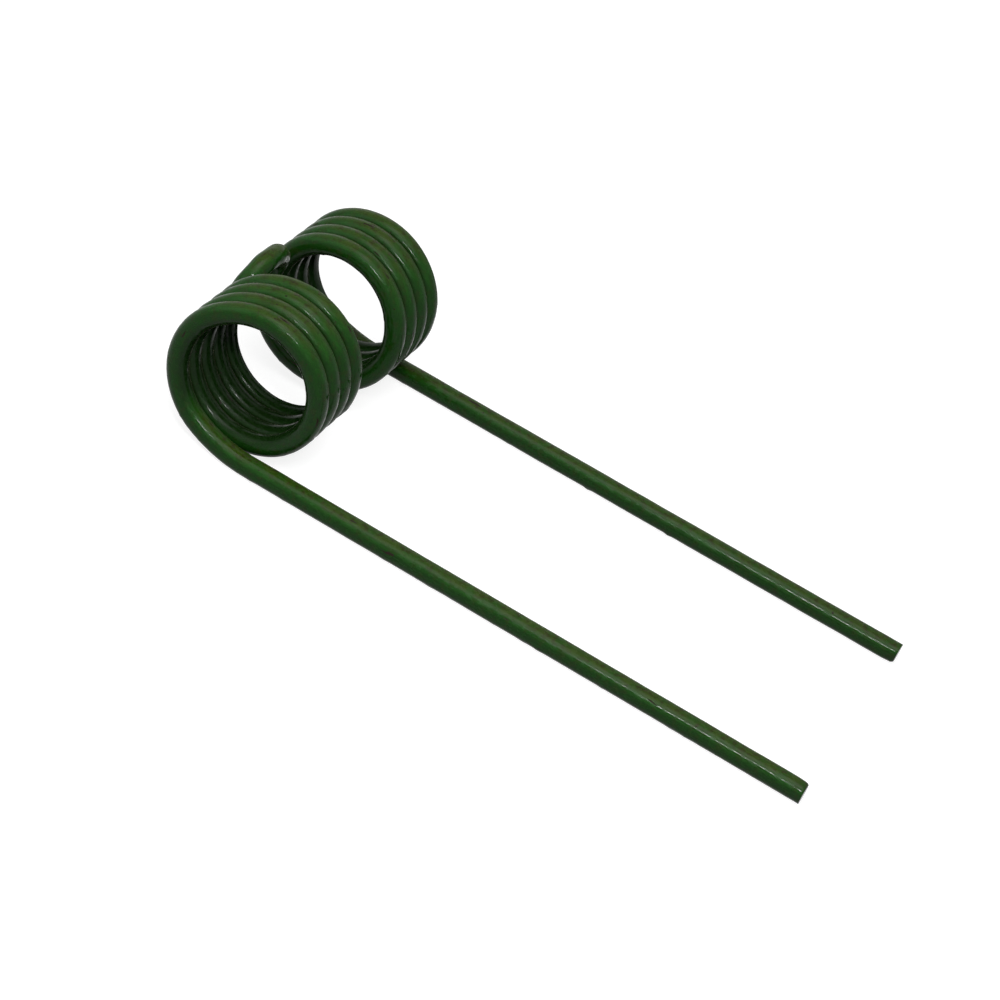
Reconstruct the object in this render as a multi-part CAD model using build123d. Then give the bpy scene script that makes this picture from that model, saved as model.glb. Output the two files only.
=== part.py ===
from build123d import *
import math
import os

os.makedirs("parts", exist_ok=True)

# Pick-up tine for a baler: two spring teeth, each on its own coil, in one bent and painted wire.
# Sizes are in millimetres and angles in degrees.
# The origin is on the coil axis, midway between the coils. The axis is Y, the legs point
# along +X and leave the coils at the bottom, and +Z is up.
# An angle around the axis is counted from the leg side, up, and back over the top.

# Wire
wire_diameter = 5.5
tip_bevel = 0.5

# Coils
coil_inner_diameter = 30.5
gap_between_turns = 0.12
whole_turns = 4

# Bridge that joins the coils
bridge_angle = 166.0
bridge_inner_width = 11.9
arm_length = 1.6

# Legs
leg_length = 154.5
opening_angle = 26.0
opening_radius_ratio = 2.0

coil_radius = (coil_inner_diameter + wire_diameter) / 2
pitch = wire_diameter + gap_between_turns
bottom_angle = 270.0
coil_angle = 360 * whole_turns + bottom_angle - opening_angle - bridge_angle
coil_start_y = (bridge_inner_width + wire_diameter) / 2
forward = Vector(1, 0, 0)


def outward(angle):
    """Direction from the coil axis to the wire."""
    return Vector(math.cos(math.radians(angle)), 0, math.sin(math.radians(angle)))


def along(angle):
    """Direction of the wire in the far coil, with the slope of the winding."""
    around = Vector(-math.sin(math.radians(angle)), 0, math.cos(math.radians(angle)))
    slope = pitch / (2 * math.pi * coil_radius)
    return (around + Vector(0, slope, 0)).normalized()


def coil_line():
    """Helix of the far coil. It winds left-handed, away from the bridge."""
    start = Plane(origin=(0, coil_start_y, 0), x_dir=outward(bridge_angle), z_dir=(0, 1, 0))
    height = pitch * coil_angle / 360
    return start.from_local_coords(Edge.make_helix(pitch, height, coil_radius, lefthand=True))


def arm_line():
    """Short straight stretch that lifts the bridge off the far coil."""
    coil_start = coil_line() @ 0
    return Edge.make_line(coil_start - along(bridge_angle) * arm_length, coil_start)


def bridge_line():
    """Round bend from the far coil's arm over to the near coil's arm."""
    far_end = arm_line() @ 0
    near_end = Vector(far_end.X, -far_end.Y, far_end.Z)
    return Edge.make_tangent_arc(far_end, along(bridge_angle) * -1, near_end)


def opening_line():
    """Last stretch of the winding, where the coil opens out until the wire runs forward."""
    start = coil_line() @ 1
    heading = along(bridge_angle + coil_angle)
    turn = math.radians(heading.get_angle(forward))
    inward = (forward - heading * math.cos(turn)).normalized()
    radius = opening_radius_ratio * coil_radius
    end = start + heading * (radius * math.sin(turn)) + inward * (radius * (1 - math.cos(turn)))
    return Edge.make_tangent_arc(start, heading, end)


def leg_line():
    """Straight tooth, from the coil to the tip."""
    start = opening_line() @ 1
    return Edge.make_line(start, start + forward * leg_length)


def round_wire(line):
    """Solid wire along one stretch of its centreline."""
    section = Plane(origin=line @ 0, z_dir=line % 0) * Circle(wire_diameter / 2)
    return sweep(section, path=line, is_frenet=True)


def leg():
    """Straight tooth with a small bevel round its cut end."""
    blank = round_wire(leg_line())
    tip_edge = blank.edges().filter_by(GeomType.CIRCLE).sort_by(Axis.X)[-1]
    return chamfer(tip_edge, tip_bevel)


def tine():
    """The whole wire. The near half mirrors the far half, and the bridge joins them."""
    far_half = round_wire(arm_line()) + round_wire(coil_line()) + round_wire(opening_line()) + leg()
    near_half = far_half.mirror(Plane.XZ)
    return near_half + round_wire(bridge_line()) + far_half


export_step(tine(), "parts/pickup_tine.step")
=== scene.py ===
import math

import bpy
from mathutils import Matrix, Vector, noise


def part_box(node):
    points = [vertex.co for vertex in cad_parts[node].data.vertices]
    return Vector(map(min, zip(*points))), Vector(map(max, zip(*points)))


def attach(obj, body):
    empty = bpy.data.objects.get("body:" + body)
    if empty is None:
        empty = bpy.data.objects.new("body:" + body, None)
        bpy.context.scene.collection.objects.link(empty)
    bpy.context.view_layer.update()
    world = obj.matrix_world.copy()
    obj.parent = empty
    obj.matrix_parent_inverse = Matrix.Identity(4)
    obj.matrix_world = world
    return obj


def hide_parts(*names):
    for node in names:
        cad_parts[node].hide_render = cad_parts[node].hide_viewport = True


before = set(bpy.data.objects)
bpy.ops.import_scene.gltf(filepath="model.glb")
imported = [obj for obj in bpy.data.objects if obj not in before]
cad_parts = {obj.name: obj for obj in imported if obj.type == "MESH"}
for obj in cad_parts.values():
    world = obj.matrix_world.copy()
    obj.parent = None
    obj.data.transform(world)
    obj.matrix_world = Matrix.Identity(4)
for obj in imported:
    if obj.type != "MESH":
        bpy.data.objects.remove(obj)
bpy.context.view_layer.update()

# Spring wire
# The whole tine is one length of round spring steel wire, bent cold: two close coils on one axis,
# a bridge bend that joins them at the back, and a straight leg out of each. The legs are sheared
# off at the tips, and then everything is dipped in glossy green paint.

# The coil axis is Y, the legs run along +X, and +Z is up.
low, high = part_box("pickup_tine")
wire_radius = 0.00275
coil_radius = high.z - wire_radius
pitch = 0.00562
bridge_inner_width = 0.0119
arm_length = 0.0016
opening_radius = 2 * coil_radius
tip_x = high.x
coil_axis = Vector((0, 1, 0))
forward = Vector((1, 0, 0))

# Angles are counted from the leg side, up and back. The bridge leaves the coil at the upper back,
# and the coil begins to open out into the leg a little before its bottom.
whole_turns = 4
bridge_degrees = 166
bottom_degrees = 270
opening_degrees = 26
bridge_angle = math.radians(bridge_degrees)
coil_turn = math.radians(360 * whole_turns + bottom_degrees - opening_degrees - bridge_degrees)

# The near coil has sprung out of round, most at its upper front side and next to its leg.
swell_angle = math.radians(49)
swell_at_bridge = 0.00078
swell_at_leg = 0.00139

# Steps of the mesh along the wire
step_on_bends = 0.0007
step_on_legs = 0.0012
step_at_tips = 0.0003
tip_length = 0.003


def outward(angle):
    """Direction from the coil axis to the wire."""
    return Vector((math.cos(angle), 0, math.sin(angle)))


def pose(point, heading, out):
    """Matrix of a place: its X is the outer side, its Y the flank and its Z the heading."""
    columns = Matrix((out, heading.cross(out), heading)).transposed().to_4x4()
    return Matrix.Translation(point) @ columns


def out_of(place):
    return place.to_3x3().col[0].copy()


def flank_of(place):
    return place.to_3x3().col[1].copy()


def heading_of(place):
    return place.to_3x3().col[2].copy()


def side_on(heading, target):
    """Direction square to the heading, on the side where the target points."""
    return (target - heading * target.dot(heading)).normalized()


def screw(centre, axis, turn, rise=0.0):
    """Rigid motion that turns about a line and slides along it."""
    there = Matrix.Translation(centre + axis * rise)
    return there @ Matrix.Rotation(turn, 4, axis) @ Matrix.Translation(-centre)


def bend(start, towards, radius, turn):
    """Places along a round bend, the end included and the start left out."""
    centre = start.translation + towards * radius
    axis = heading_of(start).cross(towards).normalized()
    count = math.ceil(radius * turn / step_on_bends)
    return [screw(centre, axis, turn * k / count) @ start for k in range(1, count + 1)]


def straight(start, length, step):
    """Places along a straight run, the end included and the start left out."""
    count = math.ceil(length / step)
    way = heading_of(start) * (length / count)
    return [Matrix.Translation(way * k) @ start for k in range(1, count + 1)]


def coil(start, first_swell, last_swell):
    """Places along the winding. Its angle grows against the right-hand turn about Y."""
    count = math.ceil(coil_turn * coil_radius / step_on_bends)
    line = []
    for k in range(1, count + 1):
        share = k / count
        turned = coil_turn * share
        place = screw(Vector(), coil_axis, -turned, pitch * turned / (2 * math.pi)) @ start
        facing = max(0, math.cos(bridge_angle + turned - swell_angle))
        swell = facing ** 2 * (first_swell + (last_swell - first_swell) * share)
        line.append(Matrix.Translation(out_of(place) * swell) @ place)
    return line


# Where the far coil starts, and the half bridge and the arm that lead to it
slope = pitch / (2 * math.pi * coil_radius)
start_out = outward(bridge_angle)
around = Vector((-start_out.z, 0, start_out.x))
start_heading = (around + coil_axis * slope).normalized()
coil_start_y = bridge_inner_width / 2 + wire_radius
arm_start = start_out * coil_radius + coil_axis * coil_start_y - start_heading * arm_length
bridge_turn = coil_axis.angle(start_heading)
bridge_radius = arm_start.y / math.sin(bridge_turn)
towards_coil = side_on(coil_axis, start_heading)
crown = arm_start - coil_axis * arm_start.y - towards_coil * bridge_radius * (1 - math.cos(bridge_turn))


def half_wire(first_swell, last_swell):
    """Places from the middle of the bridge to the tip, written for the far half."""
    line = [pose(crown, coil_axis, start_out)]
    line += bend(line[-1], towards_coil, bridge_radius, bridge_turn)
    line += straight(line[-1], arm_length, step_on_bends)
    line += coil(line[-1], first_swell, last_swell)
    coil_heading = heading_of(line[-1])
    line += bend(line[-1], side_on(coil_heading, forward), opening_radius, coil_heading.angle(forward))
    line += straight(line[-1], tip_x - tip_length - line[-1].translation.x, step_on_legs)
    line += straight(line[-1], tip_length, step_at_tips)
    return line


far_line = half_wire(0, 0)
near_line = half_wire(swell_at_bridge, swell_at_leg)
travelled = [0.0]
for before, after in zip(far_line, far_line[1:]):
    travelled.append(travelled[-1] + (after.translation - before.translation).length)

lead_length = bridge_radius * bridge_turn + arm_length
turn_length = math.hypot(2 * math.pi * coil_radius, pitch)
turns_in_coil = coil_turn / (2 * math.pi)

# Paint fills the grooves: it reaches the middle between two turns and fades up their flanks.
# Nearness to a groove grows evenly from 0 at 75 degrees up the flank to 1 at its bottom.
groove_reach = math.radians(75)
fill_start = 0.82
fill_full = 0.95
fill_overlap = 0.00001
half_spacing = pitch / 2 * math.cos(math.atan(slope))

# A groove begins and ends over these parts of a turn, and so does the inside of the coil.
groove_fade = 0.02
groove_fade_at_leg = 0.06
inside_fade = 0.05
inside_fade_at_leg = 0.1


def smooth(edge_0, edge_1, value):
    """0 up to the first edge, 1 from the second on, and smooth between them."""
    share = min(1, max(0, (value - edge_0) / (edge_1 - edge_0)))
    return share * share * (3 - 2 * share)


def beside(turns, away):
    """How far another turn lies beside this one, away from the bridge or towards it."""
    if away:
        return smooth(0, groove_fade, turns_in_coil - 1 - turns) * smooth(-groove_fade, 0, turns)
    return smooth(0, groove_fade, turns - 1) * smooth(-groove_fade_at_leg, 0, turns_in_coil - turns)


def groove_nearness(turns, facing):
    """How near a point of the wire is to a groove, from how squarely it faces along the axis."""
    angle = math.acos(min(1, abs(facing)))
    return max(0, 1 - angle / groove_reach) * beside(turns, facing > 0)


def groove_fill(nearness, facing):
    """Extra thickness of the paint in a groove."""
    if nearness < fill_start:
        return 0
    to_middle = half_spacing / abs(facing) + fill_overlap - wire_radius
    return to_middle * smooth(fill_start, fill_full, nearness)


# Unevenness of the dipped paint: long waves, fine ripple, and beads that hang on the low sides.
# Each reads the noise at a place of its own.
wave_size = 0.007
wave_height = 0.00005
ripple_size = 0.0018
ripple_height = 0.000018
ripple_shift = Vector((7, 3, 1))
bead_size = 0.0024
bead_height = 0.0006
bead_shift = Vector((2, 9, 4))
bead_threshold = 0.34
bead_on_flanks = 0.45
bead_lower_down = 0.55

# The bridge was bent hard, and its paint is the lumpiest.
lump_reach = 0.02
lump_size = 1.3 * bead_size
lump_height = 0.0002
lump_shift = Vector((5, 1, 8))


def paint_height(point, way, distance):
    """Height of the paint over an even coat."""
    waves = noise.noise(point / wave_size) * wave_height
    ripple = noise.noise(point / ripple_size + ripple_shift) * ripple_height
    bead = max(0, noise.noise(point / bead_size + bead_shift) - bead_threshold) * bead_height
    hanging = max(0, bead_on_flanks - bead_lower_down * way.z)
    on_bridge = smooth(lump_reach, 0, distance)
    lumps = noise.noise(point / lump_size + lump_shift) * lump_height * on_bridge
    return waves + ripple + bead * hanging + lumps


# The shear draws the last of the wire in and rolls the cut over on one side. It leaves the other
# side sharp, and the face of the cut uneven.
sag_length = 0.004
sag_depth = 0.00022
far_rolled_side = Vector((0, -0.6, -0.8))
near_rolled_side = Vector((0, -0.6, 0.8))
roll_hard = 0.0007
roll_soft = 0.00018
roll_start = -0.6
cut_lump_size = 0.002
cut_lump_height = 0.00008
corner_steps = 6
face_steps = 6

# A jaw of the shear pressed a small flat into the near leg beside its cut.
flat_way = Vector((0, -0.70, 0.714)).normalized()
flat_length = 0.002
flat_depth = 0.00009
flat_fade = 0.15

points_around = 48
crowding_at_grooves = 0.4

# How squarely a point faces the coil axis where it counts as fully inside the coil
fully_inside = 0.9


def ring_ways(place):
    """Directions from the wire's centre to the points of a ring, crowded at the grooves."""
    ways = []
    for k in range(points_around):
        turn = 2 * math.pi * k / points_around
        angle = turn + crowding_at_grooves / 2 * math.sin(2 * turn)
        ways.append(out_of(place) * math.cos(angle) + flank_of(place) * math.sin(angle))
    return ways


def wire_ring(place, distance, rolled_side, side):
    """One ring of the paint: points, nearness to a groove, how far inside, wire coordinates."""
    mirror = Matrix.Diagonal((1, side, 1))
    out = out_of(place)
    flank = flank_of(place)
    axial = side_on(heading_of(place), coil_axis)
    turns = (distance - lead_length) / turn_length
    wound = smooth(-inside_fade, inside_fade, turns)
    wound *= smooth(turns_in_coil, turns_in_coil - inside_fade_at_leg, turns)
    to_tip = tip_x - place.translation.x
    sag = sag_depth * max(0, 1 - to_tip / sag_length) ** 2
    pressed = 0
    if side < 0:
        pressed = smooth((1 + flat_fade) * flat_length, (1 - flat_fade) * flat_length, to_tip)
    ring = []
    for way in ring_ways(place):
        groove = groove_nearness(turns, way.dot(axial))
        on_steel = mirror @ (place.translation + way * wire_radius)
        uneven = paint_height(on_steel, mirror @ way, distance)
        height = uneven * (1 - smooth(fill_start, fill_full, groove))
        height += groove_fill(groove, way.dot(axial)) - sag * max(0, way.dot(rolled_side))
        radius = wire_radius + height
        point = mirror @ (place.translation + way * radius)
        over_flat = (mirror @ way).dot(flat_way) * radius - wire_radius + flat_depth
        point -= flat_way * max(0, over_flat) * pressed
        inside = smooth(0, fully_inside, -way.dot(out)) * wound
        coordinates = (side * distance, way.dot(out) * wire_radius, way.dot(flank) * wire_radius)
        ring.append((point, groove, inside, coordinates))
    return ring


def tip_rings(place, distance, rolled_side, side):
    """Rings over the sheared edge and in to the middle of the cut face."""
    mirror = Matrix.Diagonal((1, side, 1))
    outline = wire_ring(place, distance, rolled_side, side)
    ways = ring_ways(place)
    rings = []
    for step in range(1, corner_steps + face_steps):
        turn = min(1, step / corner_steps) * math.pi / 2
        inner = max(0, step - corner_steps) / face_steps
        ring = []
        for way, (edge_point, groove, inside, coordinates) in zip(ways, outline):
            roll = roll_soft + (roll_hard - roll_soft) * smooth(roll_start, 1, way.dot(rolled_side))
            inward = roll * (1 - math.cos(turn)) + (wire_radius - roll) * inner
            lump = noise.noise(edge_point / cut_lump_size) * cut_lump_height
            forth = forward * (roll * (math.sin(turn) - 1) + lump * inner * (1 - inner))
            point = edge_point + forth - mirror @ way * inward
            ring.append((point, groove, inside, coordinates))
        rings.append(ring)
    return rings


def half_skin(line, rolled_side, side):
    """All rings of one half, from the middle of the bridge to the middle of its cut face."""
    rings = []
    for place, distance in zip(line, travelled):
        if place.translation.x < tip_x - roll_hard:
            rings.append(wire_ring(place, distance, rolled_side, side))
    return rings + tip_rings(line[-1], travelled[-1], rolled_side, side)


# The near half mirrors the far one. Both share the ring in the middle of the bridge.
far_rings = half_skin(far_line, far_rolled_side, 1)
near_rings = half_skin(near_line, near_rolled_side, -1)
rings = near_rings[:0:-1] + far_rings

vertices = []
grooves = []
insides = []
wire_coordinates = []
for ring in rings:
    for point, groove, inside, coordinates in ring:
        vertices.append(point)
        grooves.append(groove)
        insides.append(inside)
        wire_coordinates += coordinates
faces = []
for r in range(len(rings) - 1):
    for k in range(points_around):
        here = r * points_around + k
        beside_here = r * points_around + (k + 1) % points_around
        faces.append((here, beside_here, beside_here + points_around, here + points_around))

# A small flat face closes the middle of each cut.
faces.append(tuple(range(points_around))[::-1])
faces.append(tuple(len(vertices) - points_around + k for k in range(points_around)))

wire_mesh = bpy.data.meshes.new("painted_wire")
wire_mesh.from_pydata(vertices, [], faces)
wire_mesh.polygons.foreach_set("use_smooth", [True] * len(wire_mesh.polygons))
wire_mesh.attributes.new("groove", "FLOAT", "POINT").data.foreach_set("value", grooves)
wire_mesh.attributes.new("inside", "FLOAT", "POINT").data.foreach_set("value", insides)
wire_mesh.attributes.new("wire", "FLOAT_VECTOR", "POINT").data.foreach_set("vector", wire_coordinates)
painted_wire = bpy.data.objects.new("painted_wire", wire_mesh)
bpy.context.scene.collection.objects.link(painted_wire)


class Value:
    """A socket in a node tree. Sums and products of it add Math nodes to the tree."""

    def __init__(self, tree, socket=None):
        self.tree = tree
        self.socket = socket

    def node(self, kind, settings, inputs, output=0):
        """Add a node by its type, settings and inputs, and give back one of its outputs."""
        made = self.tree.nodes.new("ShaderNode" + kind)
        for name, setting in settings.items():
            setattr(made, name, setting)
        for key, value in inputs.items():
            if isinstance(value, Value):
                self.tree.links.new(value.socket, made.inputs[key])
            else:
                made.inputs[key].default_value = value
        return Value(self.tree, made.outputs[output] if made.outputs else None)

    def math(self, operation, first, second=0.0):
        return self.node("Math", {"operation": operation}, {0: first, 1: second})

    def __add__(self, other):
        return self.math("ADD", self, other)

    def __radd__(self, other):
        return self.math("ADD", other, self)

    def __sub__(self, other):
        return self.math("SUBTRACT", self, other)

    def __rsub__(self, other):
        return self.math("SUBTRACT", other, self)

    def __mul__(self, other):
        return self.math("MULTIPLY", self, other)

    def __rmul__(self, other):
        return self.math("MULTIPLY", other, self)

    def rise(self, start, end):
        """0 up to start, 1 from end on, and smooth between them."""
        limits = {"Value": self, "From Min": start, "From Max": end}
        return self.node("MapRange", {"interpolation_type": "SMOOTHSTEP"}, limits)

    def mix(self, bottom, top):
        """Colour that goes from bottom to top as this value goes from 0 to 1."""
        # A Mix node takes its colours at sockets 6 and 7 and gives the mixed one at output 2.
        return self.node("Mix", {"data_type": "RGBA"}, {0: self, 6: bottom, 7: top}, 2)

    def speckle(self, size, detail):
        """Noise over this vector, with patches of about the given size in metres."""
        return self.node("TexNoise", {}, {"Vector": self, "Scale": 1 / size, "Detail": detail})

    def stretched(self, times):
        """This wire coordinate, with what lies along the wire drawn out that many times."""
        return self.node("VectorMath", {"operation": "MULTIPLY"}, {0: self, 1: (1 / times, 1, 1)})


deep_green = (0.008, 0.048, 0.004, 1)
bright_green = (0.011, 0.060, 0.006, 1)
# The next colour is painted shade: a darker green for the undersides.
underside_shade_green = (0.0045, 0.028, 0.0025, 1)
# The next colour is painted shade for the insides of the coils.
inside_shade_green = (0.005, 0.018, 0.003, 1)
# The next colour is an olive-yellow tint for the upper sides.
upper_olive_green = (0.027, 0.053, 0.0055, 1)
# The next colour is groove dirt together with painted shade in the grooves.
groove_dirt_and_shade = (0.007, 0.011, 0.004, 1)
rust_brown = (0.022, 0.024, 0.005, 1)
bare_steel = (0.013, 0.009, 0.005, 1)
dust_sheen = (0.9, 0.8, 0.6, 1)

paint = bpy.data.materials.new("green_dip_paint")
paint.use_nodes = True
paint.node_tree.nodes.clear()
graph = Value(paint.node_tree)
place_on_tine = graph.node("TexCoord", {}, {}, "Object")
along_wire = graph.node("Attribute", {"attribute_name": "wire"}, {}, "Vector")
in_groove = graph.node("Attribute", {"attribute_name": "groove"}, {}, "Fac")
in_coil = graph.node("Attribute", {"attribute_name": "inside"}, {}, "Fac")
facing = graph.node("NewGeometry", {}, {}, "Normal")
facing_up = graph.node("SeparateXYZ", {}, {0: facing}, "Z")
facing_far = graph.node("SeparateXYZ", {}, {0: facing}, "Y")

# Runs in the paint, painted shade on the low sides, and an olive tint with rusty specks on the upper ones
underside_shade_share = 0.75
runs = along_wire.stretched(times=4).speckle(size=0.0016, detail=3.0)
patches = place_on_tine.speckle(size=0.0036, detail=4.0)
specks = place_on_tine.speckle(size=0.0017, detail=4.0).rise(0.5, 0.64)
body = runs.rise(0.38, 0.62).mix(deep_green, bright_green)
# Painted shade: the colour darkens towards the undersides.
shaded_underside = underside_shade_share * (1 - facing_up.rise(0.34, 0.66))
# The upper sides turn olive-yellow, in patches.
upper_olive_tint = facing_up.rise(0.62, 0.95) * (0.35 + 0.65 * patches.rise(0.3, 0.6))
shaded_and_tinted = upper_olive_tint.mix(shaded_underside.mix(body, underside_shade_green), upper_olive_green)
rusty = specks * (0.3 + 0.45 * facing_up.rise(0.75, 0.97))
speckled = rusty.mix(shaded_and_tinted, rust_brown)

# Painted shade on the insides of the coils, and dirt with painted shade in the grooves
# Painted shade: the insides of the coils darken.
inside_shade_share = 0.95
shaded_inside = (inside_shade_share * in_coil).mix(speckled, inside_shade_green)
# Dirt and painted shade darken the grooves between turns.
groove_dirt_and_shade_mask = in_groove.rise(0.38, 0.85) * (0.7 + 0.3 * patches.rise(0.4, 0.6))
soiled_and_shaded = groove_dirt_and_shade_mask.mix(shaded_inside, groove_dirt_and_shade)

# Chips down to the steel, and scrapes, which run along the wire
scrapes = along_wire.stretched(times=6).speckle(size=0.0011, detail=1.0).rise(0.735, 0.76)
chips = place_on_tine.speckle(size=0.0009, detail=1.0).rise(0.77, 0.79)
bare = graph.math("MAXIMUM", scrapes, chips)
colour = bare.mix(soiled_and_shaded, bare_steel)

# Orange peel, grit under the paint and the wire's drawing lines break the gloss. On the tips the
# last drop of paint has dried smooth.
smooth_roughness = 0.04
peel = place_on_tine.speckle(size=0.0011, detail=2.0)
grit = place_on_tine.speckle(size=0.00045, detail=1.0)
drawing_lines = along_wire.stretched(times=30).speckle(size=0.0004, detail=1.0)
rubbed = along_wire.stretched(times=2).speckle(size=0.0009, detail=2.0)
place_along_x = graph.node("SeparateXYZ", {}, {0: place_on_tine}, "X")
wavy = 1 - place_along_x.rise(tip_x - 1.4 * flat_length, tip_x - flat_length)
broken = 0.04 + 0.28 * rubbed.rise(0.48, 0.55) + 0.07 * grit.rise(0.5, 0.75) + 0.4 * bare
height_mm = wavy * (0.016 * peel + 0.007 * grit + 0.002 * drawing_lines - 0.03 * bare)
one_mm = 0.001
relief = graph.node("Bump", {}, {"Strength": 1.0, "Distance": one_mm, "Height": height_mm})
gloss = graph.node("BsdfPrincipled", {}, {
    "Base Color": colour,
    "Roughness": smooth_roughness + wavy * broken,
    "Specular IOR Level": 0.10,
    "Normal": relief,
})

# Dust takes the gloss off the far upper sides, and grime off the undersides, the flanks in the
# grooves and the insides of the coils.
dust_share = 0.75
dusty_side = graph.math("MAXIMUM", facing_up.rise(-0.1, 0.5), in_coil)
dusty = dust_share * facing_far.rise(-0.1, 0.25) * dusty_side
shiny_under = 1 - 0.35 * (1 - facing_up.rise(-0.5, 0.1))
shiny_flank = 1 - 0.6 * in_groove.rise(0.4, 0.8)
shiny_inside = 1 - 0.1 * in_coil
shiny = (1 - dusty) * shiny_under * shiny_flank * shiny_inside
dust = graph.node("BsdfPrincipled", {}, {
    "Base Color": colour,
    "Roughness": 1.0,
    "Specular IOR Level": 0.0,
    "Sheen Weight": 0.09,
    "Sheen Roughness": 0.3,
    "Sheen Tint": dust_sheen,
    "Normal": relief,
})
surface = graph.node("MixShader", {}, {0: shiny, 1: dust, 2: gloss})
graph.node("OutputMaterial", {}, {"Surface": surface})
wire_mesh.materials.append(paint)

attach(painted_wire, "root")
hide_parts("pickup_tine")

# Floor and surroundings
# The tine lies on a pale, matt studio floor with nothing else round it. The floor keeps the soft
# shadow of the wire, and runs out into the white of the room.
floor_half = 20.0
floor_mesh = bpy.data.meshes.new("floor")
corners = ((-1, -1), (1, -1), (1, 1), (-1, 1))
spread = [(x * floor_half, y * floor_half, low.z) for x, y in corners]
floor_mesh.from_pydata(spread, [], [(0, 1, 2, 3)])
floor = bpy.data.objects.new("floor", floor_mesh)
bpy.context.scene.collection.objects.link(floor)


def seen_in_picture(graph):
    """1 for rays from the camera, in gloss or through glass, and 0 for light that is shed."""
    camera_ray = graph.node("LightPath", {}, {}, "Is Camera Ray")
    glossy_ray = graph.node("LightPath", {}, {}, "Is Glossy Ray")
    transmission_ray = graph.node("LightPath", {}, {}, "Is Transmission Ray")
    return camera_ray + glossy_ray + transmission_ray


# The lamps light the floor grey. For the camera it also glows white, a little less by the tine.
floor_grey = (0.32, 0.32, 0.32, 1)
white_by_the_tine = (0.85, 0.85, 0.85, 1)
white_far_off = (1, 1, 1, 1)
grows_whiter_from = 0.25
white_from = 1.2
floor_paint = bpy.data.materials.new("pale_floor")
floor_paint.use_nodes = True
floor_paint.node_tree.nodes.clear()
graph = Value(floor_paint.node_tree)
spot = graph.node("NewGeometry", {}, {}, "Position")
from_tine = graph.node("VectorMath", {"operation": "LENGTH"}, {0: spot}, "Value")
far_off = from_tine.rise(grows_whiter_from, white_from)
surface = graph.node("BsdfPrincipled", {}, {
    "Base Color": floor_grey,
    "Roughness": 0.9,
    "Specular IOR Level": 0.0,
    "Emission Color": far_off.mix(white_by_the_tine, white_far_off),
    "Emission Strength": seen_in_picture(graph),
})
graph.node("OutputMaterial", {}, {"Surface": surface})
floor_mesh.materials.append(floor_paint)

# The room sheds a weak light of its own, and shows white in the picture.
room_light = 0.14
room = bpy.data.worlds.new("studio")
bpy.context.scene.world = room
room.use_nodes = True
room.node_tree.nodes.clear()
graph = Value(room.node_tree)
room_strength = room_light + (1 - room_light) * seen_in_picture(graph)
backdrop = graph.node("Background", {}, {"Color": (1, 1, 1, 1), "Strength": room_strength})
graph.node("OutputWorld", {}, {"Surface": backdrop})

# Camera
# It stands at the photograph's viewing angle: to the near side of the legs, above them and
# tilted, so that the legs run down to the lower right.
azimuth = math.radians(14.3579)
elevation = math.radians(36.5068)
tilt = math.radians(21.3953)
camera_distance = 0.67929
focal_pixels = 2747.946
sensor_mm = 36.0
picture_side = 1000
origin_pixel = (308.1855, 331.9138)

level_right = Vector((math.cos(azimuth), math.sin(azimuth), 0))
level_back = Vector((math.sin(azimuth), -math.cos(azimuth), 0))
back = level_back * math.cos(elevation) + Vector((0, 0, math.sin(elevation)))
level_up = back.cross(level_right)
right = level_right * math.cos(tilt) + level_up * math.sin(tilt)
up = level_up * math.cos(tilt) - level_right * math.sin(tilt)

# The camera moves sideways until the origin, between the coils, falls on its pixel.
metres_per_pixel = camera_distance / focal_pixels
camera_point = back * camera_distance
camera_point -= right * (origin_pixel[0] - picture_side / 2) * metres_per_pixel
camera_point -= up * (picture_side / 2 - origin_pixel[1]) * metres_per_pixel
camera_data = bpy.data.cameras.new("camera")
camera_data.sensor_width = sensor_mm
camera_data.lens = focal_pixels / picture_side * sensor_mm
camera = bpy.data.objects.new("camera", camera_data)
camera.matrix_world = pose(camera_point, back, right)
bpy.context.scene.collection.objects.link(camera)
bpy.context.scene.camera = camera

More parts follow.
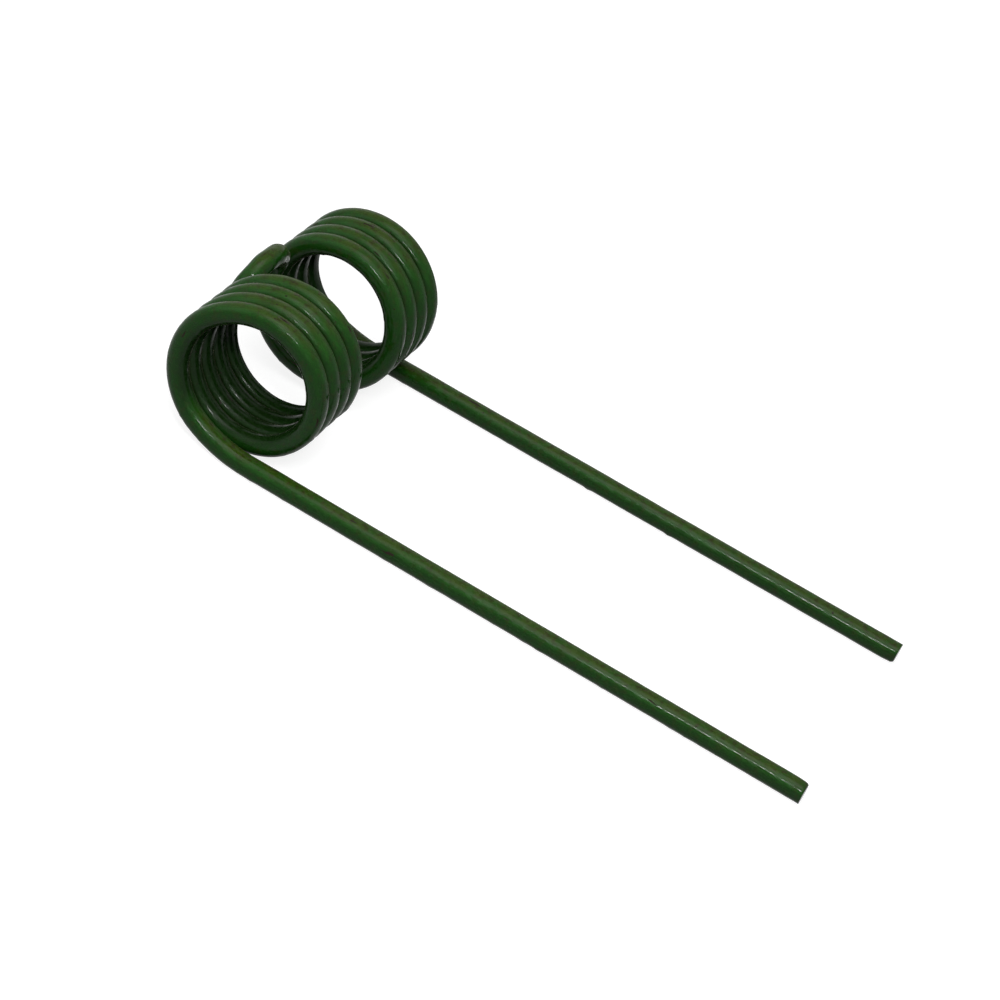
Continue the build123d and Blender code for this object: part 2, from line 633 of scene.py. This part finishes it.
# Lamps
# A large soft box above the lens lights the tine and gives the broad sheen on its turns. Weaker
# ones stand to the left and behind. A narrow strip close to the lens gives the thin bright line
# along each leg.
tine_aim = Vector((0.06, 0, 0))
leg_aim = Vector((0.085, 0, 0))


def soft_box(name, aim, way, along, distance, length, width, level):
    """Lamp that is bright in its middle. A small one at level 1 lights a white thing to white."""
    data = bpy.data.lights.new(name, "AREA")
    data.shape = "RECTANGLE"
    data.size = length
    data.size_y = width
    data.energy = level * math.pi ** 2 * distance ** 2
    data.use_nodes = True
    data.node_tree.nodes.clear()
    graph = Value(data.node_tree)
    spot = graph.node("NewGeometry", {}, {}, "Parametric")
    # A sine dims the edges. Its mean is 2 / pi on each side, which the first factor makes up for.
    strength = (math.pi / 2) ** 2
    for side_name in ("X", "Y"):
        across = graph.node("SeparateXYZ", {}, {0: spot}, side_name)
        strength = strength * graph.math("SINE", across * math.pi)
    glow = graph.node("Emission", {}, {"Color": (1, 1, 1, 1), "Strength": strength})
    graph.node("OutputLight", {}, {"Surface": glow})
    lamp = bpy.data.objects.new(name, data)
    facing_back = way.normalized()
    lamp.matrix_world = pose(aim + facing_back * distance, facing_back, side_on(facing_back, along))
    lamp.visible_camera = False
    bpy.context.scene.collection.objects.link(lamp)


front_angle = math.radians(36)
front = up * math.sin(front_angle) + back * math.cos(front_angle) + right * 0.15
left = up * 0.6 + back * 0.5 - right * 0.62
behind = Vector((0, 0, 0.1)) - level_back
by_lens = back * 0.98 + up * 0.21 - right * 0.046
along_legs = right * 0.8 - up * 0.6
soft_box("soft_box_front", tine_aim, front, right, distance=1.0, length=1.15, width=1.0, level=0.60)
soft_box("soft_box_left", tine_aim, left, right + up, distance=1.0, length=1.0, width=0.9, level=0.13)
soft_box("soft_box_behind", tine_aim, behind, level_right, distance=1.0, length=1.0, width=0.9, level=0.22)
soft_box("strip_by_lens", leg_aim, by_lens, along_legs, distance=0.42, length=0.17, width=0.026, level=0.50)

bpy.context.scene.view_settings.view_transform = "Standard"
